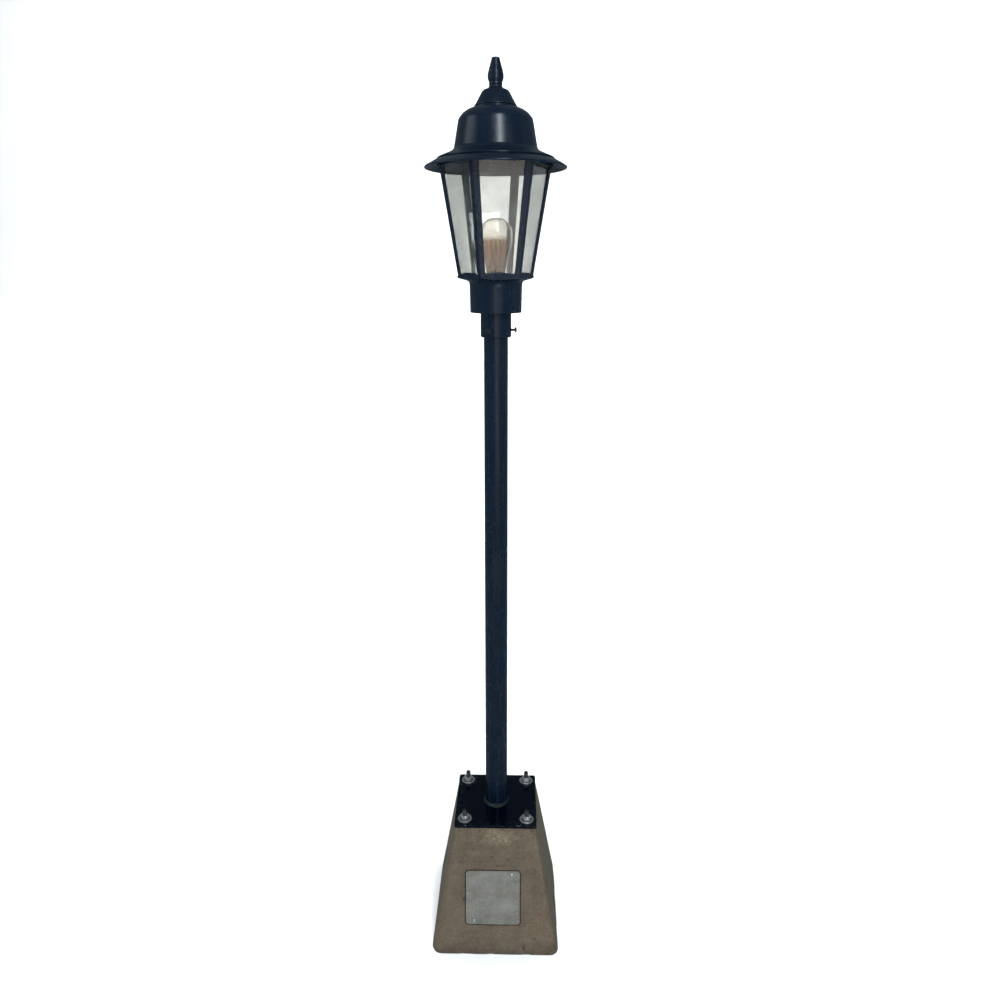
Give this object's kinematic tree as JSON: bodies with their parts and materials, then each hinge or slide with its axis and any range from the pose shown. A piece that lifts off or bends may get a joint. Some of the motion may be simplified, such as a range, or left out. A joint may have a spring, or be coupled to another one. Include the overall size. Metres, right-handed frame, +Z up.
{
  "type": "garden post lantern",
  "caption": "Hexagonal glazed garden lantern with a spun hood and finial on a round steel post, welded to a base plate bolted to a tapered concrete block.",
  "frame": {"origin": "centre of the concrete block underside, on the ground", "axes": "+Z up along the post; the block face with the junction box cover looks towards -Y; the lantern head stands turned 8.6 degrees about +Z"},
  "size_m": [0.28, 0.28, 1.8479],
  "materials": {
    "paint": "satin navy-black powder coat",
    "plate_paint": "glossy black enamel",
    "concrete": "cast grey-brown concrete, open pores",
    "cover_metal": "dull weathered sheet metal",
    "zinc": "zinc-plated",
    "stud_steel": "zinc-plated thread",
    "dark_screw": "blackened steel",
    "galvanised": "galvanised sheet",
    "clear_glass": "clear float glass",
    "amber_glass": "amber-tinted clear envelope",
    "stem_glass": "clear glass stem",
    "filament": "yellow phosphor coating",
    "wire": "bright wire",
    "cap_metal": "bright screw cap",
    "shell_brass": "bright brass",
    "insulator": "black glass insulator",
    "porcelain": "white glazed porcelain",
    "terminal_plastic": "off-white moulded plastic",
    "seal_rubber": "matt black",
    "cable_sheath": "black cable sheath"
  },
  "bodies": {
    "base": {"concrete_block": "concrete", "base_plate": "plate_paint", "anchor_studs": "stud_steel", "anchor_washers": "zinc", "anchor_nuts": "zinc", "post_tube": "paint", "junction_box": "galvanised", "terminal_block": "terminal_plastic", "terminal_screws": "zinc", "lamp_lead": "cable_sheath"},
    "cover": {"cover_plate": "cover_metal"},
    "cover_screw_upper": {"cover_screw_upper": "zinc"},
    "cover_screw_lower": {"cover_screw_lower": "zinc"},
    "head": {"post_socket": "paint", "lantern_base": "paint", "upper_ring": "paint", "holder_plate": "galvanised", "holder_screws": "zinc", "lampholder_body": "porcelain", "lampholder_shell": "shell_brass", "lampholder_contact": "shell_brass", "roof_bridge": "paint", "roof_stud": "zinc", "stud_nuts": "zinc", "cage_bar_1": "paint", "cage_bar_2": "paint", "cage_bar_3": "paint", "cage_bar_4": "paint", "cage_bar_5": "paint", "cage_bar_6": "paint", "glass_pane_1": "clear_glass", "glass_pane_2": "clear_glass", "glass_pane_3": "clear_glass", "glass_pane_4": "clear_glass", "glass_pane_5": "clear_glass", "glass_pane_6": "clear_glass"},
    "set_screw_1": {"set_screw_1": "dark_screw"},
    "set_screw_2": {"set_screw_2": "dark_screw"},
    "set_screw_3": {"set_screw_3": "dark_screw"},
    "roof": {"roof_hood": "paint", "roof_cap": "paint"},
    "finial_seal": {"finial_seal": "seal_rubber"},
    "finial": {"finial": "paint"},
    "bulb_tip": {"bulb_contact": "cap_metal"},
    "bulb": {"bulb_cap": "cap_metal", "bulb_insulator": "insulator", "bulb_glass": "amber_glass", "bulb_stem": "stem_glass", "bulb_filaments": "filament", "bulb_wires": "wire"}
  },
  "joints": [
    {"name": "head_turn", "type": "hinge", "parent": "base", "child": "head", "pos_m": [0, 0, 1.398], "axis": [0, 0, 1], "range_deg": [-180, 180]},
    {"name": "roof_lift", "type": "slide", "parent": "head", "child": "roof", "axis": [0, 0, 1], "range_m": [0, 0.15]},
    {"name": "finial_rise", "type": "slide", "parent": "roof", "child": "finial_seal", "axis": [0, 0, 1], "range_m": [0, 0.01]},
    {"name": "finial_turn", "type": "hinge", "parent": "finial_seal", "child": "finial", "pos_m": [0, 0, 1.7972], "axis": [0, 0, 1], "range_deg": [0, 3600]},
    {"name": "bulb_rise", "type": "slide", "parent": "head", "child": "bulb_tip", "axis": [0, 0, 1], "range_m": [0, 0.01452]},
    {"name": "bulb_turn", "type": "hinge", "parent": "bulb_tip", "child": "bulb", "pos_m": [0, 0, 1.4244], "axis": [0, 0, 1], "range_deg": [0, 1440]},
    {"name": "set_screw_1_out", "type": "slide", "parent": "head", "child": "set_screw_1", "axis": [0.9888, 0.1495, 0], "range_m": [-0.0015, 0.0035]},
    {"name": "set_screw_2_out", "type": "slide", "parent": "head", "child": "set_screw_2", "axis": [-0.6239, 0.7815, 0], "range_m": [0, 0.005]},
    {"name": "set_screw_3_out", "type": "slide", "parent": "head", "child": "set_screw_3", "axis": [-0.3649, -0.9311, 0], "range_m": [0, 0.005]},
    {"name": "cover_off", "type": "slide", "parent": "base", "child": "cover", "axis": [0, -0.9844, 0.1758], "range_m": [0, 0.08]},
    {"name": "cover_screw_upper_out", "type": "slide", "parent": "cover", "child": "cover_screw_upper", "axis": [0, -0.9844, 0.1758], "range_m": [0, 0.012]},
    {"name": "cover_screw_lower_out", "type": "slide", "parent": "cover", "child": "cover_screw_lower", "axis": [0, -0.9844, 0.1758], "range_m": [0, 0.012]}
  ],
  "couplings": [
    {"joint": "finial_turn", "follows": "finial_rise", "rad_per_m": 6283.2},
    {"joint": "bulb_turn", "follows": "bulb_rise", "rad_per_m": 1731.4}
  ]
}
